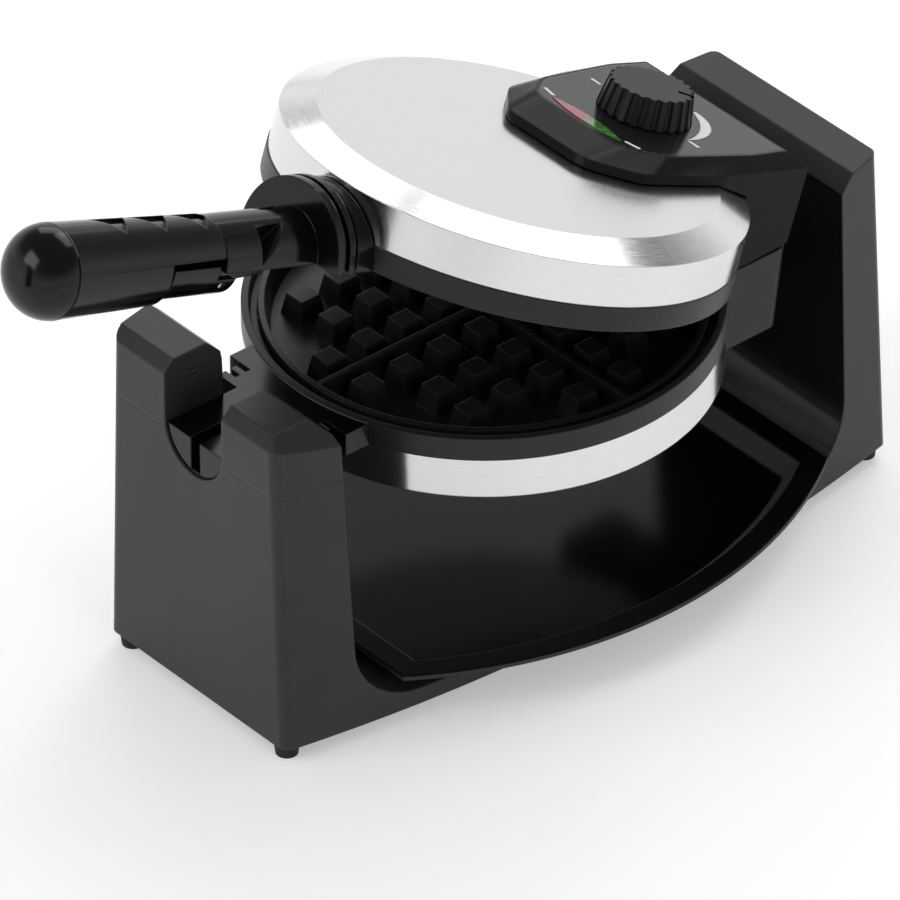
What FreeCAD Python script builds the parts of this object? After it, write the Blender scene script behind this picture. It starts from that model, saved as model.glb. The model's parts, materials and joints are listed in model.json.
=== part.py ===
import FreeCAD, Part
import math
import os

V = FreeCAD.Vector

# A flip-over waffle maker, in millimetres.
# Lengths along Y are first given from the centre of the cooking plates, with the handle towards -Y.
# The floor is at z = 0.  Before export everything is moved along Y, so that the origin lies under
# the middle of the whole object.

# Flip axis, plates and lid
axis_z = 131.0          # height of the flip axis and of the parting plane
cavity_r = 89.0         # radius of the waffle cavity at its mouth
part_gap = 1.0          # each half stops this far short of the parting plane
rim_w = 7.0             # how far the plastic rims stand out from the plates
rim_depth = 11.4        # depth of a rim below the parting plane
channel_depth = 6.0     # depth of the overflow channel
channel_wall = 3.0      # thickness of the rim's outer wall
channel_lean = 0.8      # how far the channel's outer wall leans in
cover_in = 0.5          # how far the steel covers lie inside the rims
band_h = 18.1           # height of the straight steel band
cone_h = 6.0            # height of the steel cone above the band
cone_w = 14.0           # width of the steel cone
sheet_t = 0.8           # thickness of the steel sheet
plate_lip = 2.5         # width of the cooking plate's edge round the cavity
cavity_depth = 12.5     # depth of the cavity floor below the parting plane
plate_t = 4.0           # thickness of the plate under the cavity
plate_sink = 0.6        # how far the plate's edge lies below the rim's
wall_slope = 2.5        # how far the cavity wall leans in
stud_pitch = 20.0       # distance between waffle studs
stud_first = 12.0       # distance of the first studs from the middle lines
stud_rows = 4           # rows of studs in each half
stud_base = 13.2        # side of a stud at the cavity floor
stud_top = 9.6          # side of a stud at its top
stud_short = 1.2        # how far the studs stop below the plate's edge
stud_clear = 1.5        # least gap between studs and the cavity wall
ridge_w = 2.4           # width of the ridges that quarter the waffle
element_in = 27.0       # centre line of the heating element from the cavity wall
element_wire_r = 4.0    # radius of the heating element's tube
element_arc = 320.0     # sweep of the heating element in degrees
reflector_in = 3.5      # how far the heat reflectors stop inside the plates' edges
reflector_drop = 11.0   # distance from plate to reflector
reflector_hole_r = 9.0  # middle hole of the reflectors
plate_screw_n = 3       # screws that hold each plate and reflector
plate_screw_in = 13.0   # their circle from the cavity wall
plate_screw_r = 2.0     # radius of their shanks
plate_screw_head = 1.5  # thickness of their heads
plate_screw_turn = 30.0  # angle of the first one in degrees

# Hinge of the lid
hinge_in = 3.5          # hinge axis inside the rims' outer radius
hinge_drop = 3.0        # hinge axis below the flip axis
rest_open = 19.46       # how far the lid stands open, in degrees
stop_more = 2.0         # how much further the lid can open, in degrees
hinge_pin_r = 2.0
hinge_lug_r = 4.5
hinge_lug_in = 9.0      # inner face of the lower lugs from the housing's side
hinge_lug_t = 3.0       # thickness of each lug
stop_gap = 0.3          # gaps at the lid's hinge

# Base
foot_h = 6.5
foot_r = 5.5
foot_taper = 0.8        # how much smaller a foot is at the floor
foot_in = 6.5           # distance of a foot from the ends and sides
front_post = 34.0       # depth of the front post
rear_post = 28.0        # depth of the rear post
base_half_w = 55.0      # half width at the ends, at the bottom
base_bulge = 17.0       # how far the sides bulge out in the middle
base_draft = 0.0365     # inward lean of the sides per mm of height
rear_draft = 0.03       # forward lean of the rear face per mm of height
base_wall = 3.0
base_edge_r = 4.5       # rounding of the upright edges
bar_top = 14.0          # top of the low bar between the posts
saddle_r = 30.0         # rounding between bar and posts
front_room = 20.5       # front post from the rims, at its foot
front_lean = 5.0        # how far its inner face leans away
rear_room = 47.0        # rear post from the rims
seam_drop = 3.5         # seam between posts and caps below the flip axis
tall_rise = 27.5        # top of the tall horn above the flip axis
short_rise = 24.0       # top of the short horn above the flip axis
horn_bevel = 5.0
horn_spare = 12.0       # the raw post above the tall horn
horn_back = 7.0         # bevel of the horns towards the plates
grip_mark_n = 2         # shallow marks on the tall horn's inner face
mark_drop = 10.0        # the first mark below the horn's top
mark_step = 3.0
mark_deep = 1.0
mark_len = 5.0
mark_w = 1.2
rear_cap_rise = 12.5    # where the rear cap's bevel starts above the flip axis
rear_cap_bevel = 6.5    # height of that bevel
rear_cap_slope = 2.0    # rise of the rear cap's top towards the rear
rear_cap_in = 7.5       # depth of the rear cap's bevel
plate_sheet = 2.0       # thickness of the base plate
boss_r = 5.0            # screw bosses in the posts
boss_h = 18.0
rib_t = 2.5             # ribs that tie the bosses to the end walls
base_screw_r = 1.6
base_screw_head_r = 3.2
base_screw_head_h = 1.5
boss_side = 21.0        # screw bosses from the sides of the base
boss_in = 15.0          # screw bosses from the ends
inlet_z = 32.0          # height of the cord inlet
inlet_r = 7.0
inlet_hole_r = 3.6
inlet_flange = 2.5
inlet_seat = 0.5        # gap between the inlet's flange and the leaning wall

# Drip tray
tray_over = 2.5         # how far the tray stands out beyond the rims
tray_arc = 2.0          # radius of the tray's sides in half widths
tray_front_gap = 20.0   # tray from the posts
tray_rear_gap = 14.5
tray_h = 10.0           # top of the tray above the bar
tray_rim_w = 10.0
tray_rim_t = 2.4
tray_floor_t = 2.0
tray_lean = 7.0         # how far the tray's wall leans in
tray_lift = 0.3         # gap between tray and bar

# Flip bearing at the rear post
shaft_r = 9.0
shaft_hole_r = 4.5
shaft_off = 9.0         # inner end of the flip shaft from the rims
bearing_wall = 3.5
bearing_flange_r = 17.0
bearing_flange_t = 2.2
bearing_len = 14.0
nut_r = 13.5
nut_t = 5.0
nut_room = 1.0          # free space round the nut
nut_room_end = 3.0      # free space behind the nut
nut_gap = 0.3           # gap between bearing and nut
tower_r = 14.0
gate_gap = 4.0          # room for the tower in the lid's housing

# Collar and handle
neck_r = 17.2
notch_gap = 0.5         # clearance of the neck in the post's notch
flange_r = 29.0
core_r = 23.0           # radius of the collar between the flanges
boss_half = 36.0        # half width of the lower collar's block
boss_round_r = 27.5     # round part of the collar against the rims
block_out = 5.5         # front face of the collar's block from the rims
flange_space = 2.5      # space between the collar's steps
flange_1_t = 3.0
flange_2_t = 4.0
neck_short = 1.0        # how far the lower neck stops inside the post
slot_w = 5.6            # slot in the lower neck
slot_depth = 16.0
neck_out = 12.0         # seam between neck and grip in front of the post
grip_gap = 0.3          # seams of the grip
pocket_out = 15.0       # wedge-shaped pockets in the sides of the upper neck
pocket_w = 15.0
pocket_low = 3.0        # lower and upper ends of a pocket above the flip axis
pocket_high = 16.0
pocket_deep = 10.5
neck_mark_off = 9.0     # small slot on top of the neck
neck_mark_len = 9.0
neck_mark_w = 2.2
neck_mark_x = -4.0
neck_mark_deep = 1.5
lever_len = 29.5        # space for the latch lever under the grip
grip_len = 81.0         # length of the grip up to its end cap
cap_len = 16.0          # length of the end cap
grip_lift = 1.0         # the grip's axis above the flip axis
split_up = 6.0          # seam between the halves of the grip above its axis
grip_start_r = 16.6     # radius of the grip at the neck
grip_r = 19.4           # largest radius of the handle
tip_round = 16.5
rod_r = 5.0
rod_gap = 2.0           # gap between rod and tongue
tongue_r = 10.0         # tongue of the neck inside the grip
tongue_len = 22.0
tongue_gap = 0.15       # play of the tongue in the grip
rod_in = 5.0            # how far the rod runs into the end cap
groove_n = 3            # three-cornered finger marks on top of the grip
groove_depth = 1.6
groove_half = 6.4       # how far a mark reaches to each side
groove_front = 10.0     # front corner of a mark from its point
groove_back = 9.0       # rear corner of a mark from its point
groove_off = 6.5        # first mark's point from the neck seam
groove_step = 21.7
handle_screw_r = 1.6
handle_screw_in = 9.0   # screws from the ends of the lower grip
handle_screw_sink = 1.0
handle_screw_bite = 7.0  # how far they reach into the upper half

# Latch
lever_out_r = 15.6
lever_in_r = 11.5
lever_top = 3.6         # top edges of the lever below the grip and the neck
lever_step = 2.0        # high part of the lever from the neck seam
lever_over = 8.0        # how far the lever reaches under the neck
lever_gap_w = 3.0       # gap between lever and grip
blade_w = 4.6
blade_gap = 4.0         # gap between blade and slot's end
blade_low = 9.0
blade_high = 2.5
latch_in = 2.0          # latch pivot behind the neck seam
latch_drop = 5.5        # pivot below the flip axis
latch_pin_r = 1.5
ear_in = 2.7            # ears that hold the latch pin
ear_t = 2.0
ear_r = 2.8
ear_root = 8.0          # how far the ears reach up into the neck
web_len = 8.0           # web of the lever in front of the pin
web_back = 1.5          # how far the web runs on behind the lever
blade_nose = 2.0        # slant of the blade's ends
pin_short = 1.0         # how far the pin's ends stay inside the lever
leaf_w = 5.0            # bent leaf spring between neck and lever
leaf_t = 0.6
leaf_off = 9.0          # bend of the leaf from the latch pivot
leaf_len = 14.0
leaf_gap = 0.1

# Control housing on the lid
house_half = 50.0
house_out = 19.5        # rear face of the housing from the rims
house_mid_in = 48.0
house_nose_x = 23.5
house_nose_in = 104.0
house_cheek_x = 42.0
house_cheek_in = 87.0
brow_rise = 4.5         # where the bevel of the housing starts above the steel disc
brow_h = 5.0            # height of that bevel
house_corner_r = 16.0   # rounding of the corners at its front and sides
house_wall = 2.5
top_front_x = 26.5      # corners of the housing's top face
top_front_in = 89.0
top_cheek_x = 38.0
top_cheek_in = 74.0
top_side_x = 44.0
top_side_in = 28.0
top_rear_x = 43.0
top_rear_in = 8.0
panel_t = 1.2
panel_in = 1.2
lens_in = 83.0
lens_half = 21.0
lens_bow = 3.4
lens_gap = 0.1
knob_in = 50.0
knob_r = 20.0
knob_top_r = 17.8
knob_h = 12.5
knob_gap = 0.5
knob_flutes = 22
knob_flute_r = 1.5
knob_shaft_r = 3.0
run_gap = 0.05          # radial play of turning shafts
thermostat_r = 13.0
thermostat_h = 12.0
thermostat_gap = 1.0    # gap between the thermostat and the steel disc
shaft_in = 3.0          # floor of the thermostat under the shaft
knob_roof = 3.0         # thickness of the knob above the shaft
pointer_angle = 39.0    # angle of the knob's pointer from +X, in degrees
pointer_start = 11.0
pointer_w = 2.2
pointer_deep = 1.2
lamp_r = 2.0
lamp_gap = 0.5          # gap between lamps and lenses
board_t = 1.6
board_in = 4.0          # board's ends from the lens points
board_front = 4.0
board_back = 6.0
board_gap = 0.8         # gap between board and steel disc
fuse_r = 2.2            # thermal fuse in the lower housing
fuse_x = 18.0
fuse_len = 16.0
fuse_off = 3.0          # its distance from the housing's inner wall
lower_house_over = 3.5  # rear face of the lower housing behind the upper one's
lower_house_taper = 4.9
lower_house_drop = 5.0  # lower housing below the lower cover
house_edge_r = 6.0
fit_gap = 0.4           # gap between covers and the pieces that hug them

# Values worked out from those above
plate_r = cavity_r + plate_lip
rim_r = plate_r + rim_w
cover_r = rim_r - cover_in
disc_r = cover_r - cone_w
element_r = cavity_r - element_in
reflector_r = plate_r - reflector_in
plate_screw_ring = cavity_r - plate_screw_in
hinge_z = axis_z - hinge_drop
hinge_y = rim_r - hinge_in
seam_z = axis_z - seam_drop
horn_tall = axis_z + tall_rise
horn_short = axis_z + short_rise
rear_cap_front = axis_z + rear_cap_rise
rear_cap_edge = rear_cap_front + rear_cap_bevel
rear_cap_top = rear_cap_edge + rear_cap_slope
tray_top = bar_top + tray_h
front_inner_low = -(rim_r + front_room)
front_inner_top = front_inner_low - front_lean
base_front = front_inner_low - front_post
rear_inner = rim_r + rear_room
base_rear = rear_inner + rear_post
tray_half_w = rim_r + tray_over
tray_arc_r = tray_arc * tray_half_w
tray_front = front_inner_low + tray_front_gap
tray_rear = rear_inner - tray_rear_gap
shaft_start = rim_r + shaft_off
block_front = -(rim_r + block_out)
flange_1 = block_front - flange_space
flange_1_end = flange_1 - flange_1_t
flange_2 = flange_1_end - flange_space
flange_2_end = flange_2 - flange_2_t
neck_end = base_front + neck_short
slot_back = front_inner_top
neck_seam = base_front - neck_out
pocket_y = flange_2_end - pocket_out
lever_gap_y = neck_seam - lever_len
cap_seam = neck_seam - grip_len
handle_tip = cap_seam - cap_len
tongue_tip = neck_seam - tongue_len
rod_back = tongue_tip - rod_gap
rod_tip = cap_seam - rod_in
groove_first = neck_seam - groove_off
lever_back = neck_seam + lever_over
blade_end = slot_back - blade_gap
latch_y = neck_seam + latch_in
leaf_back = latch_y - leaf_off
leaf_front = leaf_back - leaf_len
house_rear = rim_r + house_out
house_mid_y = house_rear - house_mid_in
house_nose_y = house_rear - house_nose_in
house_cheek_y = house_rear - house_cheek_in
top_front_y = house_rear - top_front_in
top_cheek_y = house_rear - top_cheek_in
top_side_y = house_rear - top_side_in
top_rear_y = house_rear - top_rear_in
lens_y = house_rear - lens_in
knob_y = house_rear - knob_in
lower_house_rear = house_rear + lower_house_over
lower_house_rear_low = lower_house_rear - lower_house_taper
open_tan = math.tan(math.radians(rest_open + stop_more))
cover_h = rim_depth + band_h + cone_h
lid_top = axis_z + cover_h
notch_r = neck_r + notch_gap
grip_z = axis_z + grip_lift
bearing_r = shaft_r + run_gap + bearing_wall
base_top = horn_tall + horn_spare
far = 2.0 * lid_top
boss_x = base_half_w - boss_side
hinge_lug_x = house_half - hinge_lug_in
arm_x = hinge_lug_x + hinge_lug_t + stop_gap
arm_end = house_half - house_wall - stop_gap
cos_o = math.cos(math.radians(rest_open))
sin_o = math.sin(math.radians(rest_open))
tip_y = hinge_y - (hinge_y - handle_tip - tip_round) * cos_o
tip_y += (grip_z - hinge_z) * sin_o - (grip_r - tip_round) * sin_o - tip_round
shift_y = -(tip_y + base_rear) / 2.0
house_brow = lid_top + brow_rise
house_top = house_brow + brow_h
lower_house_bottom = axis_z - cover_h - lower_house_drop

nodes = {}


def box(x0, x1, y0, y1, z0, z1):
    return Part.makeBox(x1 - x0, y1 - y0, z1 - z0, V(x0, y0, z0))


def rod_y(r, y0, y1, x=0.0, z=axis_z):
    return Part.makeCylinder(r, y1 - y0, V(x, y0, z), V(0, 1, 0))


def rod_x(r, x0, x1, y, z):
    return Part.makeCylinder(r, x1 - x0, V(x0, y, z), V(1, 0, 0))


def rod_z(r, x, y, z0, z1):
    return Part.makeCylinder(r, z1 - z0, V(x, y, z0))


def loop(points):
    return Part.makePolygon([V(*p) for p in points] + [V(*points[0])])


def turned(points):
    """Solid of revolution about Z from (radius, height) points."""
    face = Part.Face(loop([(r, 0, z) for r, z in points]))
    return face.revolve(V(0, 0, 0), V(0, 0, 1), 360)


def slab_x(points, half):
    """Prism along X from (y, z) points."""
    face = Part.Face(loop([(-half, y, z) for y, z in points]))
    return face.extrude(V(2 * half, 0, 0))


def mirrored_loop(half_points, z):
    """Closed outline from points of the +X side, mirrored to -X."""
    left = [(-x, y, z) for x, y in reversed(half_points)]
    return loop([(x, y, z) for x, y in half_points] + left)


def skin(low, high):
    return Part.makeLoft([low, high], True, True)


def arc(p, q, r):
    return Part.Arc(V(*p), V(*q), V(*r)).toShape()


def one(shape):
    """Merge split faces and give back the plain solid."""
    shape = shape.removeSplitter()
    return shape.Solids[0] if len(shape.Solids) == 1 else shape


def upside(shape):
    """Mirror a lower-half piece in the parting plane."""
    return shape.mirror(V(0, 0, axis_z), V(0, 0, 1))


def put(name, shape, lid=False):
    shape = shape.copy()
    if lid:
        shape.rotate(V(0, hinge_y, hinge_z), V(1, 0, 0), -rest_open)
    shape.translate(V(0, shift_y, 0))
    nodes[name] = shape


# Base: bulged and leaning outline, with the space between the posts cut out

def base_outline(inset, z):
    rise = z - foot_h
    half = base_half_w - rise * base_draft - inset
    front = base_front + inset
    rear = base_rear - rise * rear_draft - inset
    mid = (front + rear) / 2.0
    broad = half + base_bulge
    right = arc((half, front, z), (broad, mid, z), (half, rear, z))
    back = Part.makeLine(V(half, rear, z), V(-half, rear, z))
    left = arc((-half, rear, z), (-broad, mid, z), (-half, front, z))
    face = Part.makeLine(V(-half, front, z), V(half, front, z))
    return Part.Wire([right, back, left, face])


def saddle(grow):
    """Space between the posts above the low bar, with rounded lower corners."""
    floor = bar_top - grow
    high = base_top + 5.0
    low_y = front_inner_low - grow
    top_y = front_inner_top - grow
    rear_y = rear_inner + grow
    solid = slab_x([(low_y, floor), (rear_y, floor), (rear_y, high), (top_y, high)], far)
    edges = []
    for edge in solid.Edges:
        middle = edge.CenterOfMass
        if abs(middle.z - floor) < 0.01 and abs(middle.x) < 0.01:
            edges.append(edge)
    return solid.makeFillet(saddle_r + grow, edges)


def upright_edges(solid):
    found = []
    for edge in solid.Edges:
        ends = [v.Z for v in edge.Vertexes]
        if len(ends) == 2 and abs(ends[0] - ends[1]) > base_top / 2.0:
            found.append(edge)
    return found


notch = rod_y(notch_r, base_front - 1, front_inner_low + 1)
notch = notch.fuse(box(-notch_r, notch_r, base_front - 1, front_inner_low + 1, axis_z, base_top + 1))
notch_liner = rod_y(notch_r + base_wall, base_front - 1, front_inner_low + 1)
notch_side = notch_r + base_wall
notch_liner = notch_liner.fuse(
    box(-notch_side, notch_side, base_front - 1, front_inner_low + 1, axis_z, base_top + 1))

outer = skin(base_outline(0, foot_h), base_outline(0, base_top))
outer = outer.makeFillet(base_edge_r, upright_edges(outer))
outer = outer.cut(saddle(0))
inner_top = rear_cap_front - base_wall
inner = skin(base_outline(base_wall, foot_h - 0.01), base_outline(base_wall, inner_top))
inner = inner.cut(saddle(base_wall)).cut(notch_liner)
bearing_end = rear_inner + bearing_len
inner = inner.cut(rod_y(bearing_r + base_wall, rear_inner, bearing_end))
inner = inner.fuse(rod_y(nut_r + nut_room, bearing_end, bearing_end + nut_t + nut_room_end))
boss_spots = []
for side in (-1, 1):
    boss_spots.append((side * boss_x, base_front + boss_in))
    boss_spots.append((side * boss_x, base_rear - boss_in))
plate_top = foot_h + plate_sheet
for x, y in boss_spots:
    end_y = base_front if y < 0 else base_rear
    inner = inner.cut(rod_z(boss_r, x, y, plate_top, plate_top + boss_h))
    rib = box(x - rib_t / 2, x + rib_t / 2, min(y, end_y), max(y, end_y), plate_top, plate_top + boss_h)
    inner = inner.cut(rib)
shell = outer.cut(inner).cut(notch)
shell = shell.cut(rod_y(bearing_r, rear_inner - 1, bearing_end + 1))
inlet_y = base_rear - (inlet_z - foot_h) * rear_draft
shell = shell.cut(rod_y(inlet_r, inlet_y - 2 * base_wall, inlet_y + 1, 0, inlet_z))
for x, y in boss_spots:
    shell = shell.cut(rod_z(base_screw_r, x, y, foot_h, plate_top + boss_h - base_wall))

below = box(-far, far, base_front - 5, base_rear + 5, 0, seam_z)
put("base_shell", one(shell.common(below)))


def horn_profile(top):
    low = top - horn_bevel
    return [(base_front, seam_z), (base_front, low), (base_front + horn_bevel, top),
            (front_inner_top - horn_back, top), (front_inner_top, top - horn_back),
            (front_inner_low, seam_z)]


left_room = slab_x(horn_profile(horn_tall), far).common(box(-far, 0, -far, 0, 0, base_top))
left_cap = shell.common(left_room)
mark_y = (base_front + front_inner_top) / 2.0
for i in range(grip_mark_n):
    mark_z = horn_tall - mark_drop - mark_step * i
    mark = box(-notch_r - mark_deep, 0, mark_y - mark_len / 2, mark_y + mark_len / 2, mark_z, mark_z + mark_w)
    left_cap = left_cap.cut(mark)
put("front_cap_left", one(left_cap))
horn_half = base_half_w - (horn_short - foot_h) * base_draft
right_room = slab_x(horn_profile(horn_short), far).common(box(0, far, -far, 0, 0, base_top))
edge_cut = Part.Face(loop([
    (horn_half - horn_bevel, base_front - 1, horn_short + 0.01),
    (horn_half + 3 * horn_bevel, base_front - 1, horn_short - 4 * horn_bevel),
    (horn_half + 3 * horn_bevel, base_front - 1, horn_short + 0.01)]))
edge_cut = edge_cut.extrude(V(0, front_inner_low - base_front + 2, 0))
put("front_cap_right", one(shell.common(right_room).cut(edge_cut)))
rear_room = slab_x([(rear_inner, seam_z), (rear_inner, rear_cap_front),
                    (rear_inner + rear_cap_in, rear_cap_edge), (base_rear, rear_cap_top),
                    (base_rear, seam_z)], far)
put("rear_cap", one(shell.common(rear_room)))

# Base plate, its screws, the feet and the cord inlet
sheet = Part.Face(base_outline(base_wall + fit_gap, foot_h)).extrude(V(0, 0, plate_sheet))
screw_set = []
for x, y in boss_spots:
    head_z = foot_h + base_screw_head_h
    sheet = sheet.cut(rod_z(base_screw_r, x, y, foot_h - 1, plate_top + 1))
    sheet = sheet.cut(rod_z(base_screw_head_r, x, y, foot_h - 1, head_z))
    shank = rod_z(base_screw_r, x, y, foot_h, plate_top + boss_h - base_wall)
    screw_set.append(shank.fuse(rod_z(base_screw_head_r, x, y, foot_h, head_z)))
put("base_plate", one(sheet))
put("base_screws", Part.makeCompound([one(s) for s in screw_set]))
foot_x = base_half_w - foot_in
for name, x, y in (("foot_front_left", -foot_x, base_front + foot_in),
                   ("foot_front_right", foot_x, base_front + foot_in),
                   ("foot_rear_left", -foot_x, base_rear - foot_in),
                   ("foot_rear_right", foot_x, base_rear - foot_in)):
    foot = Part.makeCone(foot_r - foot_taper, foot_r, foot_h, V(x, y, 0))
    put(name, foot)
gland_in = inlet_y - 2 * base_wall
gland_seat = inlet_y - base_wall - inlet_seat
gland = rod_y(inlet_r, gland_in, inlet_y, 0, inlet_z)
gland = gland.fuse(rod_y(inlet_r + inlet_flange, gland_in, gland_seat, 0, inlet_z))
put("cord_inlet", one(gland.cut(rod_y(inlet_hole_r, gland_in - 1, inlet_y + 1, 0, inlet_z))))

# Flip bearing
bush = rod_y(bearing_r, rear_inner, bearing_end)
bush = bush.fuse(rod_y(bearing_flange_r, rear_inner - bearing_flange_t, rear_inner))
put("flip_bearing", one(bush.cut(rod_y(shaft_r + run_gap, rear_inner - 20, bearing_end + 20))))


# Drip tray

def tray_outline(inset, z):
    mid = (tray_front + tray_rear) / 2.0
    front = tray_front + inset
    rear = tray_rear - inset
    r = tray_arc_r - inset
    reach = tray_half_w - inset
    back_off = r - math.sqrt(r * r - (rear - mid) ** 2)
    end = reach - back_off
    right = arc((end, front, z), (reach, mid, z), (end, rear, z))
    back = Part.makeLine(V(end, rear, z), V(-end, rear, z))
    left = arc((-end, rear, z), (-reach, mid, z), (-end, front, z))
    face = Part.makeLine(V(-end, front, z), V(end, front, z))
    return Part.Wire([right, back, left, face])


tray_low = bar_top + tray_lift
rim_low = tray_top - tray_rim_t
rim = Part.Face(tray_outline(0, rim_low)).extrude(V(0, 0, tray_rim_t))
tub_in = tray_rim_w - tray_floor_t
tub = skin(tray_outline(tub_in + tray_lean, tray_low), tray_outline(tub_in, rim_low))
well = skin(tray_outline(tray_rim_w + tray_lean, tray_low + tray_floor_t),
            tray_outline(tray_rim_w, tray_top + 0.01))
put("drip_tray", one(rim.fuse(tub).cut(well)))

# Lower half: rim, cover, cooking plate, element and reflector.  Depths count down from the parting plane.

def z_at(depth):
    return axis_z - depth


rim_in = plate_r + fit_gap
wall_in = rim_r - channel_wall
lower_rim = turned([(rim_r, z_at(rim_depth)), (rim_r, z_at(part_gap)), (wall_in, z_at(part_gap)),
                    (wall_in - channel_lean, z_at(channel_depth)), (rim_in, z_at(channel_depth)),
                    (rim_in, z_at(rim_depth))])
band_low = rim_depth + band_h
lower_cover = turned([(cover_r, z_at(rim_depth)), (cover_r, z_at(band_low)), (disc_r, z_at(cover_h)),
                      (0, z_at(cover_h)), (0, z_at(cover_h - sheet_t)),
                      (disc_r - sheet_t / 2, z_at(cover_h - sheet_t)),
                      (cover_r - sheet_t, z_at(band_low - sheet_t / 2)), (cover_r - sheet_t, z_at(rim_depth))])
plate_edge = part_gap + plate_sink
plate_low = cavity_depth + plate_t
dish = turned([(0, z_at(plate_low)), (plate_r, z_at(plate_low)), (plate_r, z_at(plate_edge)),
               (cavity_r, z_at(plate_edge)), (cavity_r - wall_slope, z_at(cavity_depth)),
               (0, z_at(cavity_depth))])
stud_h = cavity_depth - plate_edge - stud_short


def stud(x, y):
    half = stud_base / 2.0
    base_z = z_at(cavity_depth + 0.5)
    low = [(x - half, y - half), (x + half, y - half), (x + half, y + half), (x - half, y + half)]
    half = stud_top / 2.0
    top = [(x - half, y - half), (x + half, y - half), (x + half, y + half), (x - half, y + half)]
    top_z = z_at(cavity_depth - stud_h)
    return skin(loop([(a, b, base_z) for a, b in low]), loop([(a, b, top_z) for a, b in top]))


studs = []
steps = [stud_first + stud_pitch * i for i in range(stud_rows)]
half = stud_base / 2.0
for sx in steps:
    for sy in steps:
        if math.hypot(sx + half, sy + half) < cavity_r - wall_slope - stud_clear:
            for x, y in ((sx, sy), (-sx, sy), (-sx, -sy), (sx, -sy)):
                studs.append(stud(x, y))
ridge_r = cavity_r - wall_slope / 2.0
ridge_low = z_at(cavity_depth + 0.5)
ridge_top = z_at(plate_edge + stud_short)
studs.append(box(-ridge_w / 2, ridge_w / 2, -ridge_r, ridge_r, ridge_low, ridge_top))
studs.append(box(-ridge_r, ridge_r, -ridge_w / 2, ridge_w / 2, ridge_low, ridge_top))
plate = one(dish.fuse(studs))
element_z = z_at(plate_low + element_wire_r)
element = Part.makeTorus(element_r, element_wire_r, V(0, 0, element_z), V(0, 0, 1), -180, 180, element_arc)
element.rotate(V(0, 0, 0), V(0, 0, 1), 90.0 + (360.0 - element_arc) / 2.0)
reflector_top = z_at(plate_low + reflector_drop)
reflector = turned([(reflector_hole_r, reflector_top), (reflector_r, reflector_top),
                    (reflector_r, reflector_top - sheet_t), (reflector_hole_r, reflector_top - sheet_t)])
screws = []
for i in range(plate_screw_n):
    turn = math.radians(plate_screw_turn + 360.0 * i / plate_screw_n)
    x = plate_screw_ring * math.cos(turn)
    y = plate_screw_ring * math.sin(turn)
    shank = rod_z(plate_screw_r, x, y, reflector_top - sheet_t, z_at(plate_low))
    head_z = reflector_top - sheet_t
    head = rod_z(2 * plate_screw_r, x, y, head_z - plate_screw_head, head_z)
    reflector = reflector.cut(rod_z(plate_screw_r, x, y, reflector_top - 5, reflector_top + 5))
    screws.append(one(shank.fuse(head)))
screws = Part.makeCompound(screws)

shaft_way = rod_z(knob_shaft_r + 1.5, 0, knob_y, axis_z, house_top)
put("lower_rim", lower_rim)
put("lower_cover", lower_cover)
put("lower_plate", plate)
put("lower_element", element)
put("lower_reflector", reflector)
put("lower_screws", screws)
put("upper_rim", upside(lower_rim), True)
put("upper_cover", upside(lower_cover).cut(shaft_way), True)
put("upper_plate", upside(plate), True)
put("upper_element", upside(element), True)
put("upper_reflector", upside(reflector).cut(rod_z(thermostat_r + 1, 0, knob_y, axis_z, house_top)), True)
put("upper_screws", upside(screws), True)

# Lower housing with the tower for the flip shaft and the hinge lugs
hug_r = rim_r + fit_gap
hug = rod_z(hug_r, 0, 0, 0, far)
yard = [(house_mid_y, lower_house_bottom), (lower_house_rear_low, lower_house_bottom),
        (lower_house_rear, seam_z), (house_mid_y, seam_z)]
lower_house = slab_x(yard, house_half)
corner = [e for e in lower_house.Edges if abs(abs(e.CenterOfMass.x) - house_half) < 0.01
          and abs(e.CenterOfMass.y - (lower_house_rear + lower_house_rear_low) / 2) < 0.01]
lower_house = lower_house.makeFillet(house_edge_r, corner)
pit = slab_x([(house_mid_y, lower_house_bottom + house_wall),
              (lower_house_rear_low - house_wall, lower_house_bottom + house_wall),
              (lower_house_rear - house_wall, seam_z + 1), (house_mid_y, seam_z + 1)], house_half - house_wall)
wall_ring = rod_z(hug_r + house_wall, 0, 0, 0, far)
lower_house = lower_house.cut(pit.cut(wall_ring))
tower = rod_y(tower_r, shaft_start, lower_house_rear)
tower = tower.fuse(box(-tower_r, tower_r, shaft_start, lower_house_rear_low, lower_house_bottom + 1, axis_z))
lower_house = lower_house.fuse(tower)
lug_low = lower_house_bottom + house_wall / 2.0
for side in (-1, 1):
    x0 = min(side * hinge_lug_x, side * (hinge_lug_x + hinge_lug_t))
    x1 = x0 + hinge_lug_t
    arm = box(x0, x1, hinge_y - hinge_lug_r, hinge_y + hinge_lug_r, lug_low, hinge_z)
    arm = arm.fuse(rod_x(hinge_lug_r, x0, x1, hinge_y, hinge_z))
    lower_house = lower_house.fuse(arm)
lower_house = lower_house.cut(hug)
for side in (-1, 1):
    x0 = min(side * (arm_x - stop_gap), side * (arm_end + stop_gap))
    x1 = max(side * (arm_x - stop_gap), side * (arm_end + stop_gap))
    lower_house = lower_house.cut(rod_x(hinge_lug_r + stop_gap, x0, x1, hinge_y, hinge_z))
lower_house = lower_house.cut(rod_y(shaft_r, shaft_start - 1, lower_house_rear + 5))
lower_house = lower_house.cut(rod_x(hinge_pin_r, -house_half + 1, house_half - 1, hinge_y, hinge_z))
put("lower_housing", one(lower_house))

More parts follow.
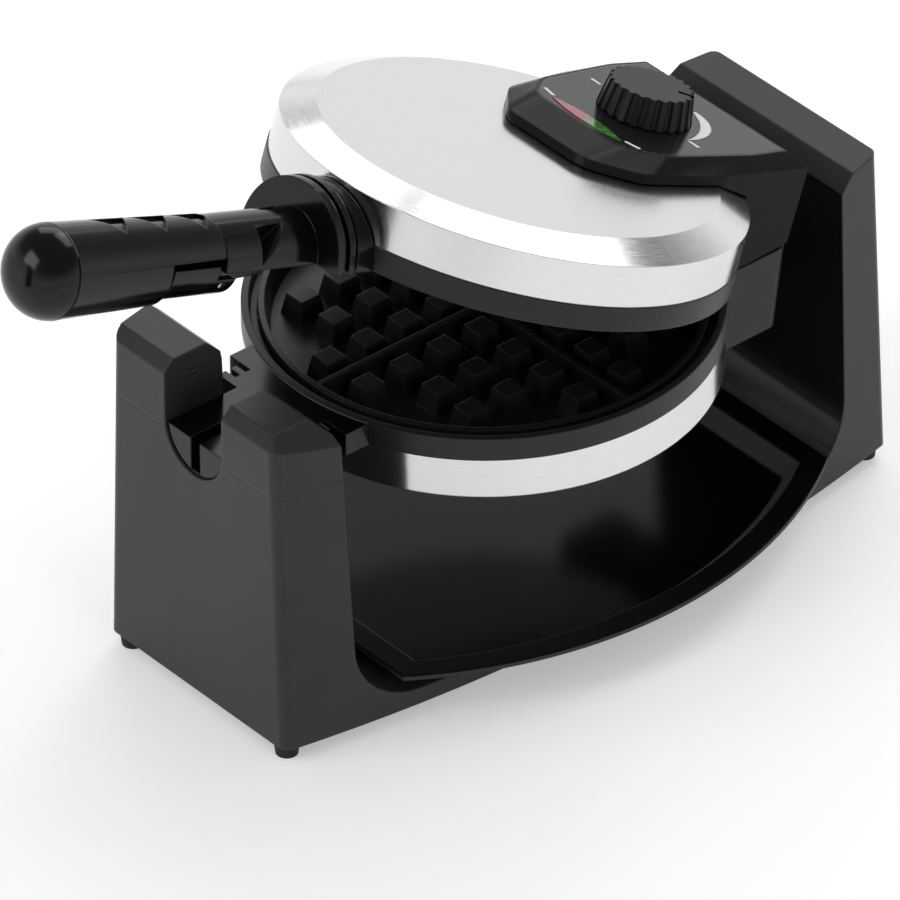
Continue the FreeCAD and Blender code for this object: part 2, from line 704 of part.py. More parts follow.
shaft = rod_y(shaft_r, shaft_start, bearing_end + nut_t + 1)
put("flip_shaft", shaft.cut(rod_y(shaft_hole_r, shaft_start - 1, bearing_end + nut_t + 2)))
nut = rod_y(nut_r, bearing_end + nut_gap, bearing_end + nut_gap + nut_t)
put("shaft_nut", nut.cut(rod_y(shaft_r, bearing_end - 1, bearing_end + nut_t + 2)))

# Collar in two halves, with flanges and the neck that lies in the post's notch
lower_space = box(-far, far, handle_tip, 0, 0, z_at(part_gap))
collar = rod_y(core_r, flange_2, block_front + 1)
collar = collar.fuse(rod_y(flange_r, flange_1_end, flange_1))
collar = collar.fuse(rod_y(flange_r, flange_2_end, flange_2))
lower_collar = collar.fuse(rod_y(neck_r, neck_end, flange_2))
boss = rod_y(boss_round_r, block_front, 0)
block = box(-boss_half, boss_half, block_front, 0, z_at(rim_depth), axis_z)
lower_collar = lower_collar.fuse(boss).fuse(block).common(lower_space).cut(hug)
slot = box(-slot_w / 2, slot_w / 2, neck_end - 1, slot_back, z_at(slot_depth), axis_z)
put("lower_collar", one(lower_collar.cut(slot)))

upper_space = box(-far, far, handle_tip, 0, axis_z + part_gap, far)
upper_collar = collar.fuse(rod_y(neck_r, neck_seam, flange_2))
upper_collar = upper_collar.fuse(boss).common(upper_space).cut(hug)
tongue = rod_y(tongue_r, tongue_tip, neck_seam, 0, grip_z)
tongue = tongue.common(box(-far, far, handle_tip, 0, grip_z, far))
upper_collar = upper_collar.fuse(tongue)
for side in (-1, 1):
    pocket = slab_x([(pocket_y - pocket_w, axis_z + pocket_low), (pocket_y, axis_z + pocket_high),
                     (pocket_y - pocket_w, axis_z + pocket_high)], pocket_deep)
    pocket.translate(V(side * neck_r, 0, 0))
    upper_collar = upper_collar.cut(pocket)
for side in (-1, 1):
    x0 = min(side * ear_in, side * (ear_in + ear_t))
    ear = box(x0, x0 + ear_t, latch_y - ear_r, latch_y + ear_r, z_at(latch_drop), axis_z + ear_root)
    ear = ear.fuse(rod_x(ear_r, x0, x0 + ear_t, latch_y, z_at(latch_drop)))
    upper_collar = upper_collar.fuse(ear)
upper_collar = upper_collar.cut(rod_x(latch_pin_r, -neck_r, neck_r, latch_y, z_at(latch_drop)))
neck_mark_back = flange_2_end - neck_mark_off
neck_mark_z = axis_z + math.sqrt(neck_r ** 2 - neck_mark_x ** 2) - neck_mark_deep
upper_collar = upper_collar.cut(box(neck_mark_x - neck_mark_w / 2, neck_mark_x + neck_mark_w / 2,
                                    neck_mark_back - neck_mark_len, neck_mark_back, neck_mark_z, far))
put("upper_collar", one(upper_collar), True)

# Handle: grip in two halves, end cap, steel rod and screws
slope = (grip_r - grip_start_r) / (neck_seam - handle_tip - tip_round)


def grip_at(y):
    return grip_start_r + (neck_seam - y) * slope


def grip(y0, y1):
    """Round, slightly tapered grip between two places along Y."""
    return Part.makeCone(grip_at(y0), grip_at(y1), y1 - y0, V(0, y0, grip_z), V(0, 1, 0))


split_z = grip_z + split_up
top_half = box(-far, far, handle_tip - 1, 0, split_z, far)
low_half = box(-far, far, handle_tip - 1, 0, 0, split_z)
rod = rod_y(rod_r, rod_tip, rod_back, 0, grip_z)
tongue_room = rod_y(tongue_r + tongue_gap, tongue_tip - tongue_gap, neck_seam + 1, 0, grip_z)
handle_top = grip(cap_seam, neck_seam - grip_gap).common(top_half).cut(rod).cut(tongue_room)
mark_floor = Part.makeCone(grip_at(cap_seam) - groove_depth, grip_at(neck_seam) - groove_depth,
                           grip_len, V(0, cap_seam, grip_z), V(0, 1, 0))
for i in range(groove_n):
    y = groove_first - groove_step * i
    mark = Part.Face(loop([(groove_half, y, grip_z), (-groove_half, y + groove_back, grip_z),
                           (-groove_half, y - groove_front, grip_z)]))
    handle_top = handle_top.cut(mark.extrude(V(0, 0, far)).cut(mark_floor))
handle_bottom = grip(cap_seam, lever_gap_y).common(low_half).cut(rod)
spots = (cap_seam + handle_screw_in, lever_gap_y - handle_screw_in)
fixings = []
for y in spots:
    low = grip_z - grip_at(y) + handle_screw_sink
    high = split_z + handle_screw_bite
    handle_top = handle_top.cut(rod_z(handle_screw_r, 0, y, split_z - 1, high))
    handle_bottom = handle_bottom.cut(rod_z(handle_screw_r, 0, y, low - 5, split_z + 1))
    rod = rod.cut(rod_z(handle_screw_r, 0, y, low, high))
    fixings.append(rod_z(handle_screw_r, 0, y, low, high))
put("handle_top", one(handle_top), True)
put("handle_bottom", one(handle_bottom), True)
put("handle_rod", one(rod), True)
put("handle_screws", Part.makeCompound(fixings), True)

round_y = handle_tip + tip_round
bend = tip_round * math.sqrt(0.5)
edge_r = grip_r - tip_round
cap_y = cap_seam - grip_gap
outline = [
    Part.makeLine(V(0, cap_y, 0), V(grip_at(cap_y), cap_y, 0)),
    Part.makeLine(V(grip_at(cap_y), cap_y, 0), V(grip_r, round_y, 0)),
    arc((grip_r, round_y, 0), (edge_r + bend, round_y - bend, 0), (edge_r, handle_tip, 0)),
    Part.makeLine(V(edge_r, handle_tip, 0), V(0, handle_tip, 0)),
    Part.makeLine(V(0, handle_tip, 0), V(0, cap_y, 0))]
end_cap = Part.Face(Part.Wire(outline)).revolve(V(0, 0, 0), V(0, 1, 0), 360)
end_cap.translate(V(0, 0, grip_z))
put("handle_end_cap", end_cap.cut(rod_y(rod_r, rod_tip, rod_back, 0, grip_z)), True)

# Latch lever under the neck, its pin and its leaf spring
lever = rod_y(lever_out_r, lever_gap_y + lever_gap_w, lever_back, 0, grip_z)
lever = lever.cut(rod_y(lever_in_r, handle_tip, lever_back + 1, 0, grip_z))
lever_room = box(-far, far, handle_tip, 0, 0, grip_z - lever_top)
lever_high = box(-far, far, handle_tip, neck_seam - lever_step, 0, split_z - lever_top)
lever = lever.common(lever_room.fuse(lever_high))
blade_half = blade_w / 2.0
web_low = grip_z - (lever_in_r + lever_out_r) / 2.0
web = box(-blade_half, blade_half, latch_y - web_len, lever_back + web_back, web_low, z_at(blade_high))
blade = slab_x([(lever_back, z_at(blade_low + blade_nose)), (lever_back, z_at(blade_high)),
                (blade_end, z_at(blade_high)), (blade_end - blade_nose, z_at(blade_low))], blade_half)
lever = lever.fuse(web).fuse(blade)
lever = lever.cut(rod_x(latch_pin_r + run_gap, -far, far, latch_y, z_at(latch_drop)))
put("latch_lever", one(lever), True)
pin_half = math.sqrt(lever_out_r ** 2 - (latch_drop + grip_lift) ** 2) - pin_short
put("latch_pin", rod_x(latch_pin_r, -pin_half, pin_half, latch_y, z_at(latch_drop)), True)
leaf_low = grip_z - math.sqrt(lever_in_r ** 2 - leaf_w ** 2 / 4.0) + leaf_gap
leaf_fall = (grip_z - 2 * leaf_t - leaf_low) / (leaf_back - leaf_front)
leaf_deep = leaf_t * math.hypot(1.0, leaf_fall)
leaf_bend = leaf_back - (leaf_deep - leaf_t) / leaf_fall
leaf = slab_x([(leaf_front, grip_z), (leaf_back, grip_z), (leaf_back, grip_z - 2 * leaf_t),
               (leaf_front, leaf_low), (leaf_front, leaf_low + leaf_deep),
               (leaf_bend, grip_z - leaf_t), (leaf_front, grip_z - leaf_t)], leaf_w / 2.0)
put("latch_spring", one(leaf), True)

# Control housing on the lid
foot_line = [(house_nose_x, house_nose_y), (house_cheek_x, house_cheek_y),
             (house_half, house_mid_y), (house_half, house_rear)]
top_line = [(top_front_x, top_front_y), (top_cheek_x, top_cheek_y),
            (top_side_x, top_side_y), (top_rear_x, top_rear_y)]
mid_y = (house_nose_y + house_rear) / 2.0


def shrunk(points, inset):
    """Move outline points inwards by about the inset along X and towards the middle along Y."""
    moved = []
    for x, y in points:
        moved.append((x - inset, y + inset if y < mid_y else y - inset))
    return moved


def rounded_loop(half_points, z, r):
    """Mirrored outline with rounded corners, apart from the two at the rear."""
    points = [V(x, y, z) for x, y in half_points]
    points += [V(-x, y, z) for x, y in reversed(half_points)]
    rear = len(half_points)
    corners = []
    for i, here in enumerate(points):
        inward = (here - points[i - 1]).normalize()
        onward = (points[(i + 1) % len(points)] - here).normalize()
        half_turn = inward.getAngle(onward) / 2.0
        cut = 0.0 if i in (rear - 1, rear) else r * math.tan(half_turn)
        centre_way = (onward - inward).normalize()
        middle = here + centre_way * (r / math.cos(half_turn) - r)
        corners.append((here - inward * cut, middle, here + onward * cut))
    edges = []
    for i, (start, middle, end) in enumerate(corners):
        edges.append(Part.makeLine(corners[i - 1][2], start))
        if i not in (rear - 1, rear):
            edges.append(Part.Arc(start, middle, end).toShape())
    return Part.Wire(edges)


house = Part.Face(rounded_loop(foot_line, hinge_z, house_corner_r)).extrude(V(0, 0, house_brow - hinge_z))
house = house.fuse(skin(rounded_loop(foot_line, house_brow, house_corner_r),
                        rounded_loop(top_line, house_top, house_corner_r)))
room_line = shrunk(foot_line, house_wall)
roof_line = shrunk(top_line, house_wall)
room = Part.Face(mirrored_loop(room_line, hinge_z - 1)).extrude(V(0, 0, house_brow - hinge_z + 1))
room = room.fuse(skin(mirrored_loop(room_line, house_brow),
                      mirrored_loop(roof_line, house_top - panel_t - house_wall)))
house = house.cut(room)
lid_hug = turned([(0, 0), (hug_r, 0), (hug_r, axis_z + rim_depth + band_h + fit_gap),
                  (disc_r + fit_gap, lid_top + fit_gap), (0, lid_top + fit_gap)])
house = house.cut(lid_hug)
reach = house_rear + 20.0 - hinge_y
relief = slab_x([(0, 0), (reach + hinge_y, 0), (reach + hinge_y, hinge_z + stop_gap + reach * open_tan),
                 (hinge_y, hinge_z + stop_gap), (0, hinge_z + stop_gap)], far)
house = house.cut(relief)
gate_half = tower_r + gate_gap
house = house.cut(box(-gate_half, gate_half, shaft_start - 5, house_rear + 5, 0, axis_z + 2 * tower_r))
for side in (-1, 1):
    x0 = min(side * arm_x, side * arm_end)
    x1 = max(side * arm_x, side * arm_end)
    arm = box(x0, x1, hinge_y - hinge_lug_r, hinge_y + hinge_lug_r, hinge_z, house_brow)
    arm = arm.fuse(rod_x(hinge_lug_r, x0, x1, hinge_y, hinge_z))
    side_x = side * (house_half - 1.0)
    tie = box(min(x0, side_x), max(x1, side_x), hinge_y - hinge_lug_r, hinge_y + hinge_lug_r,
              hinge_z + 4 * hinge_lug_r, house_brow)
    house = house.fuse(arm.fuse(tie))
house = house.cut(lid_hug)
house = house.cut(rod_x(hinge_pin_r + run_gap, -house_half + 1, house_half - 1, hinge_y, hinge_z))
panel_line = shrunk(top_line, panel_in)
panel_r = house_corner_r - panel_in
seat = Part.Face(rounded_loop(panel_line, house_top - panel_t, panel_r)).extrude(V(0, 0, panel_t))
house = house.cut(seat)


def lens_shape(grow, z0, z1):
    """Pointed lens window across the front of the panel."""
    left = (-lens_half - grow, lens_y, z0)
    right = (lens_half + grow, lens_y, z0)
    back = arc(left, (0, lens_y + lens_bow + grow, z0), right)
    front = arc(right, (0, lens_y - lens_bow - grow, z0), left)
    return Part.Face(Part.Wire([back, front])).extrude(V(0, 0, z1 - z0))


window = lens_shape(lens_gap, house_top - 10, house_top + 1)
knob_way = rod_z(knob_shaft_r + 1.0, 0, knob_y, axis_z, house_top + 1)
put("control_housing", one(house.cut(window).cut(knob_way)), True)
put("control_panel", one(seat.cut(window).cut(knob_way)), True)
lens = lens_shape(0, house_top - panel_t - house_wall, house_top + 0.3)
put("lens_red", one(lens.common(box(-far, -lens_gap / 2, 0, far, 0, far))), True)
put("lens_green", one(lens.common(box(lens_gap / 2, far, 0, far, 0, far))), True)

# Lamps on their board, thermostat, knob and hinge pins
board_low = lid_top + fit_gap + board_gap
lens_low = house_top - panel_t - house_wall
board_half = lens_half - board_in
board_rear = lens_y + board_back
board = box(-board_half, board_half, lens_y - board_front, board_rear, board_low, board_low + board_t)
for x in (-lens_half / 2, lens_half / 2):
    board = board.fuse(rod_z(lamp_r, x, lens_y, board_low + board_t / 2, lens_low - lamp_gap))
put("lamp_board", one(board), True)
heat_top = lid_top - sheet_t - thermostat_gap
heat = rod_z(thermostat_r, 0, knob_y, heat_top - thermostat_h, heat_top)
shaft_low = heat_top - thermostat_h + shaft_in
heat = heat.cut(rod_z(knob_shaft_r + run_gap, 0, knob_y, shaft_low - 0.3, heat_top + 1))
put("thermostat", heat, True)
knob_low = house_top + knob_gap
knob_top = knob_low + knob_h
knob_shaft_top = knob_top - knob_roof
put("knob_shaft", rod_z(knob_shaft_r, 0, knob_y, shaft_low, knob_shaft_top), True)
knob = Part.makeCone(knob_r, knob_top_r, knob_h, V(0, knob_y, knob_low))
for i in range(knob_flutes):
    turn = 2.0 * math.pi * i / knob_flutes
    x = knob_r * math.cos(turn)
    y = knob_y + knob_r * math.sin(turn)
    tilt = V((knob_top_r - knob_r) * math.cos(turn), (knob_top_r - knob_r) * math.sin(turn), knob_h)
    flute = Part.makeCylinder(knob_flute_r, tilt.Length + 2, V(x, y, knob_low) - tilt.multiply(0.05), tilt)
    knob = knob.cut(flute)
pointer = box(pointer_start, knob_r, -pointer_w / 2, pointer_w / 2, knob_top - pointer_deep, knob_top + 1)
pointer.rotate(V(0, 0, 0), V(0, 0, 1), pointer_angle)
pointer.translate(V(0, knob_y, 0))
knob = knob.cut(pointer).cut(rod_z(knob_shaft_r, 0, knob_y, knob_low - 1, knob_shaft_top))
put("knob", one(knob), True)
pins = []
for side in (-1, 1):
    x0 = min(side * hinge_lug_x, side * arm_end)
    x1 = max(side * hinge_lug_x, side * arm_end)
    pins.append(rod_x(hinge_pin_r, x0, x1, hinge_y, hinge_z))
put("hinge_pins", Part.makeCompound(pins))
fuse_y = hug_r + house_wall + fuse_off
fuse_z = lower_house_bottom + house_wall + fuse_r
put("thermal_fuse", rod_x(fuse_r, fuse_x, fuse_x + fuse_len, fuse_y, fuse_z))

os.makedirs("parts", exist_ok=True)
for name in sorted(nodes):
    nodes[name].exportStep("parts/" + name + ".step")
print("shift_y", round(shift_y, 4), "nodes", len(nodes))
for name in sorted(nodes):
    shape = nodes[name]
    b = shape.BoundBox
    print(name, len(shape.Solids), shape.isValid(), round(shape.Volume),
          [round(v, 1) for v in (b.XMin, b.XMax, b.YMin, b.YMax, b.ZMin, b.ZMax)])
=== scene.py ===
import json
import math

import bmesh
import bpy
from mathutils import Matrix, Vector


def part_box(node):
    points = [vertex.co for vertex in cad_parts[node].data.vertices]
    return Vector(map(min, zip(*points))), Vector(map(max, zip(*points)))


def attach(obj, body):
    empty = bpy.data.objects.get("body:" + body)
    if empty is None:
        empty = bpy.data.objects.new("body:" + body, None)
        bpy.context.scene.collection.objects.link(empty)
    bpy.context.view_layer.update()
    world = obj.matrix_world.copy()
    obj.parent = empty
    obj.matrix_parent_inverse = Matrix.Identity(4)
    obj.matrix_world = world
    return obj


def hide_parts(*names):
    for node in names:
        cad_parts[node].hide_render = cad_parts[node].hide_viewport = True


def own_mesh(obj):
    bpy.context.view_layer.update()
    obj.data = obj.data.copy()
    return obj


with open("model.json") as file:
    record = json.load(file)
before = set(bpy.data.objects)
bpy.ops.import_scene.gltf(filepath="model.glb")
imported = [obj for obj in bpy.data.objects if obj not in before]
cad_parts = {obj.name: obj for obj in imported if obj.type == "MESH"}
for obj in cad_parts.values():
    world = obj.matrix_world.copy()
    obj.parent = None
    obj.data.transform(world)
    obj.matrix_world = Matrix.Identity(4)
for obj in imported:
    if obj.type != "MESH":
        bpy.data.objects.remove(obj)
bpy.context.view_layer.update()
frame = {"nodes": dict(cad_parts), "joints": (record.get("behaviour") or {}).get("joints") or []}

nodes = frame["nodes"]
joints = {j["name"]: j for j in frame["joints"]}
scene = bpy.context.scene
scene.view_settings.view_transform = "Standard"

MM_PER_M = 1000.0
WHITE = (1.0, 1.0, 1.0, 1.0)
NO_TINT = (1.0, 1.0, 1.0)

# Ranges that a noise texture's values mostly lie in
NOISE_MID = (0.3, 0.7)
NOISE_WIDE = (0.2, 0.8)

# Lid frame: pieces on the lid are worked out with the lid shut and then turned open with it.
hinge = Vector(joints["lid_hinge"]["pos_m"])
lid_open = math.radians(-joints["lid_hinge"]["range_deg"][0])
open_turn = (Matrix.Translation(hinge) @ Matrix.Rotation(-lid_open, 4, "X")
             @ Matrix.Translation(-hinge))
shut_turn = open_turn.inverted()

# Centre of the round cooking plates
plate_y = Vector(joints["head_flip"]["pos_m"]).y


# Object helpers

def link_object(name, data):
    thing = bpy.data.objects.new(name, data)
    scene.collection.objects.link(thing)
    return thing


def aim(thing, place, direction, front="-Z"):
    """Put a camera, lamp or card in its place and turn its front along a direction."""
    thing.location = place
    thing.rotation_mode = "QUATERNION"
    thing.rotation_quaternion = direction.to_track_quat(front, "Y")


def mesh_object(name, bm, look):
    """Object made from a bmesh, wearing one look."""
    mesh = bpy.data.meshes.new(name)
    bm.to_mesh(mesh)
    bm.free()
    mesh.materials.append(look.mat)
    return link_object(name, mesh)


# Camera at the photograph's angle, with a very long lens

CAMERA_PLACE = Vector((3.0025, -2.6039 + plate_y, 2.9166))
CAMERA_TARGET = Vector((-0.02118, plate_y, 0.04247))
CAMERA_LENS_MM = 480.0
CAMERA_SENSOR_MM = 36.0
CAMERA_FAR = 50.0


def photo_camera():
    data = bpy.data.cameras.new("camera")
    data.lens = CAMERA_LENS_MM
    data.sensor_width = CAMERA_SENSOR_MM
    data.clip_end = CAMERA_FAR
    camera = link_object("camera", data)
    aim(camera, CAMERA_PLACE, CAMERA_TARGET - CAMERA_PLACE)
    scene.camera = camera


photo_camera()


# Node helpers

class Graph:
    """A node tree with short ways to add and join nodes."""

    def __init__(self, tree):
        self.tree = tree

    def add(self, kind, **values):
        node = self.tree.nodes.new(kind)
        for key, value in values.items():
            setattr(node, key, value)
        return node

    def join(self, out, socket):
        self.tree.links.new(out, socket)

    def put(self, socket, value):
        """Link an output, or set a plain value on the socket."""
        if isinstance(value, bpy.types.NodeSocket):
            self.join(value, socket)
        else:
            socket.default_value = value

    def math(self, operation, a, b=0.0):
        node = self.add("ShaderNodeMath", operation=operation)
        self.put(node.inputs[0], a)
        self.put(node.inputs[1], b)
        return node.outputs[0]

    def span(self, value, from_low, from_high, to_low, to_high):
        node = self.add("ShaderNodeMapRange")
        self.put(node.inputs["Value"], value)
        node.inputs["From Min"].default_value = from_low
        node.inputs["From Max"].default_value = from_high
        node.inputs["To Min"].default_value = to_low
        node.inputs["To Max"].default_value = to_high
        return node.outputs["Result"]

    def blend(self, factor, a, b):
        node = self.add("ShaderNodeMix", data_type="RGBA")
        self.put(node.inputs["Factor"], factor)
        colours = [s for s in node.inputs if s.type == "RGBA"]
        self.put(colours[0], a)
        self.put(colours[1], b)
        return [s for s in node.outputs if s.type == "RGBA"][0]

    def parts(self, vector):
        node = self.add("ShaderNodeSeparateXYZ")
        self.join(vector, node.inputs[0])
        return node.outputs

    def seen_rays(self):
        """1 for rays that show the background, straight, mirrored or through glass, and 1 for mirrored ones."""
        path = self.add("ShaderNodeLightPath").outputs
        mirrored = path["Is Glossy Ray"]
        both = self.math("MAXIMUM", mirrored, path["Is Transmission Ray"])
        return self.math("MAXIMUM", path["Is Camera Ray"], both), mirrored


class Look(Graph):
    """A material and its shader."""

    def __init__(self, name):
        self.mat = bpy.data.materials.new(name)
        self.mat.use_nodes = True
        super().__init__(self.mat.node_tree)
        self.shader = self.tree.nodes["Principled BSDF"]
        self.coord = self.add("ShaderNodeTexCoord").outputs["Object"]

    def feed(self, socket, out):
        self.join(out, self.shader.inputs[socket])

    def fix(self, socket, value):
        self.shader.inputs[socket].default_value = value

    def source(self, socket):
        """The output that feeds one of the shader's sockets."""
        return self.shader.inputs[socket].links[0].from_socket

    def noise(self, scale, detail=2.0, rough=0.5):
        node = self.add("ShaderNodeTexNoise")
        node.inputs["Scale"].default_value = scale
        node.inputs["Detail"].default_value = detail
        node.inputs["Roughness"].default_value = rough
        self.join(self.coord, node.inputs["Vector"])
        return node.outputs["Fac"]

    def soft_edge(self, radius):
        """Normal that is rounded over at sharp edges."""
        bevel = self.add("ShaderNodeBevel", samples=4)
        bevel.inputs["Radius"].default_value = radius
        return bevel.outputs[0]

    def edge_mask(self, rounded):
        """1 where the rounded normal has left the flat one, which is along sharp edges."""
        flat_from, edge_from = 0.999, 0.93
        flat = self.add("ShaderNodeNewGeometry").outputs["Normal"]
        dot = self.add("ShaderNodeVectorMath", operation="DOT_PRODUCT")
        self.join(rounded, dot.inputs[0])
        self.join(flat, dot.inputs[1])
        return self.span(dot.outputs["Value"], flat_from, edge_from, 0.0, 1.0)

    def bump(self, height, strength, distance, normal):
        node = self.add("ShaderNodeBump")
        node.inputs["Strength"].default_value = strength
        node.inputs["Distance"].default_value = distance
        self.join(height, node.inputs["Height"])
        self.join(normal, node.inputs["Normal"])
        self.feed("Normal", node.outputs[0])

    def polish(self, mask, share):
        """Take a share off the roughness where the mask is 1."""
        left = self.math("SUBTRACT", 1.0, self.math("MULTIPLY", mask, share))
        self.feed("Roughness", self.math("MULTIPLY", self.source("Roughness"), left))

    def repaint(self, mask, colour):
        """Another base colour where the mask is 1."""
        self.feed("Base Color", self.blend(mask, self.source("Base Color"), colour))


def shade(tone, tint=NO_TINT):
    return tuple(tone * part for part in tint) + (1.0,)


# Kinds of material

def plastic(name, tone, rough, grain=900.0, grain_depth=0.12, edge_r=0.0009, wear=1.35, shine=0.3,
            tint=NO_TINT):
    """Moulded plastic: fine grain, faint cloudiness, and edges a little paler and smoother."""
    cloud_scale, cloud_dark, cloud_pale = 26.0, 0.88, 1.12
    edge_cover, edge_polish = 0.8, 0.06
    rough_spread = 0.05
    grain_height = 0.00025
    t = Look(name)
    normal = t.soft_edge(edge_r)
    edge = t.edge_mask(normal)
    cloud = t.span(t.noise(cloud_scale, detail=3.0), *NOISE_MID, 0.0, 1.0)
    fine = t.noise(grain, detail=3.0, rough=0.6)
    colour = t.blend(cloud, shade(tone * cloud_dark, tint), shade(tone * cloud_pale, tint))
    t.feed("Base Color", t.blend(t.math("MULTIPLY", edge, edge_cover), colour, shade(tone * wear, tint)))
    speck = t.span(fine, *NOISE_WIDE, rough - rough_spread, rough + rough_spread)
    t.feed("Roughness", t.math("SUBTRACT", speck, t.math("MULTIPLY", edge, edge_polish)))
    t.fix("Specular IOR Level", shine)
    t.bump(fine, grain_depth, grain_height, normal)
    return t


def brushed(name, tone, rough, lid=False):
    """Steel turned on a lathe: fine rings on the flats and fine lines round the band."""
    lines_per_m, changes_per_turn = 5200.0, 9.0
    line_low, line_high, line_dark, line_pale = 0.25, 0.75, 0.94, 1.05
    smoother, rougher, cloud_spread = 0.05, 0.06, 0.02
    cloud_scale = 14.0
    edge_r, line_depth, line_height = 0.0007, 0.05, 0.00008
    t = Look(name)
    place = t.coord
    if lid:
        turn = t.add("ShaderNodeMapping", vector_type="POINT")
        turn.inputs["Location"].default_value = shut_turn.translation
        turn.inputs["Rotation"].default_value = shut_turn.to_euler()
        t.join(place, turn.inputs["Vector"])
        place = turn.outputs[0]
    x, y, z = t.parts(place)
    y = t.math("SUBTRACT", y, plate_y)
    radius = t.math("SQRT", t.math("ADD", t.math("MULTIPLY", x, x), t.math("MULTIPLY", y, y)))
    flow = t.add("ShaderNodeCombineXYZ")
    t.join(t.math("MULTIPLY", t.math("ADD", radius, z), lines_per_m), flow.inputs[0])
    t.join(t.math("MULTIPLY", t.math("ARCTAN2", y, x), changes_per_turn), flow.inputs[1])
    ring = t.add("ShaderNodeTexNoise", noise_dimensions="2D")
    ring.inputs["Scale"].default_value = 1.0
    ring.inputs["Detail"].default_value = 3.0
    t.join(flow.outputs[0], ring.inputs["Vector"])
    line = ring.outputs["Fac"]
    t.feed("Base Color", t.blend(t.span(line, line_low, line_high, 0.0, 1.0),
                                 shade(tone * line_dark), shade(tone * line_pale)))
    t.fix("Metallic", 1.0)
    t.feed("Roughness", t.math("ADD", t.span(line, *NOISE_WIDE, rough - smoother, rough + rougher),
                               t.span(t.noise(cloud_scale), *NOISE_MID, -cloud_spread, cloud_spread)))
    t.bump(line, line_depth, line_height, t.soft_edge(edge_r))
    return t


def metal(name, tone, rough):
    """Plain drawn or stamped metal with faint scratches."""
    cloud_scale, cloud_dark = 120.0, 0.85
    smoother, rougher = 0.06, 0.08
    scratch_scale, scratch_depth, scratch_height = 2200.0, 0.05, 0.0001
    edge_r = 0.0004
    t = Look(name)
    cloud = t.noise(cloud_scale, detail=4.0)
    t.feed("Base Color", t.blend(t.span(cloud, *NOISE_MID, 0.0, 1.0), shade(tone * cloud_dark), shade(tone)))
    t.fix("Metallic", 1.0)
    t.feed("Roughness", t.span(cloud, *NOISE_WIDE, rough - smoother, rough + rougher))
    t.bump(t.noise(scratch_scale), scratch_depth, scratch_height, t.soft_edge(edge_r))
    return t


def tinted(name, colour, dark):
    """Clear tinted plastic with a moulded pattern of small lenses underneath."""
    cell_scale, cell_middle, cell_rim, cell_depth, cell_height = 420.0, 0.1, 0.7, 0.08, 0.0002
    cloud_scale, smooth, rough = 300.0, 0.10, 0.18
    clearness, bend, coat = 0.1, 1.49, 0.5
    edge_r = 0.0004
    t = Look(name)
    cells = t.add("ShaderNodeTexVoronoi", feature="F1")
    cells.inputs["Scale"].default_value = cell_scale
    t.join(t.coord, cells.inputs["Vector"])
    away = cells.outputs["Distance"]
    t.feed("Base Color", t.blend(t.span(away, cell_middle, cell_rim, 0.0, 1.0), colour, dark))
    t.feed("Roughness", t.span(t.noise(cloud_scale), *NOISE_MID, smooth, rough))
    t.fix("Transmission Weight", clearness)
    t.fix("IOR", bend)
    t.fix("Coat Weight", coat)
    t.bump(away, cell_depth, cell_height, t.soft_edge(edge_r))
    return t


def stand_plastic():
    """The stand's plastic, darker and smoother on the rear post's inner face."""
    rear_from = plate_y + 0.12
    faces_front = -0.7
    inner_polish, inner_tone = 0.55, 0.010
    t = plastic("base_plastic", 0.030, 0.34, grain=1100.0, grain_depth=0.10, edge_r=0.0014, wear=1.6,
                shine=0.25)
    normal = t.parts(t.add("ShaderNodeNewGeometry").outputs["Normal"])
    rear = t.math("GREATER_THAN", t.parts(t.coord)[1], rear_from)
    inner = t.math("MULTIPLY", rear, t.math("LESS_THAN", normal[1], faces_front))
    t.polish(inner, inner_polish)
    t.repaint(inner, shade(inner_tone))
    return t


def tray_plastic():
    """The tray's plastic, with a polished floor and walls painted paler as a painted reflection of their
    surroundings.
    """
    floor_t, rim_t = 0.0026, 0.0006
    floor_polish, wall_painted_reflection_tone = 0.62, 0.05
    t = plastic("tray_plastic", 0.002, 0.36, grain=1300.0, grain_depth=0.06, shine=0.07)
    low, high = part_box("drip_tray")
    z = t.parts(t.coord)[2]
    on_floor = t.math("LESS_THAN", z, low.z + floor_t)
    painted_reflection_wall = t.math("SUBTRACT", t.math("LESS_THAN", z, high.z - rim_t), on_floor)
    t.polish(on_floor, floor_polish)
    # Painted reflection: the walls get a paler colour that stands in for the bright surroundings they mirror.
    t.repaint(painted_reflection_wall, shade(wall_painted_reflection_tone))
    return t


# What each node wears

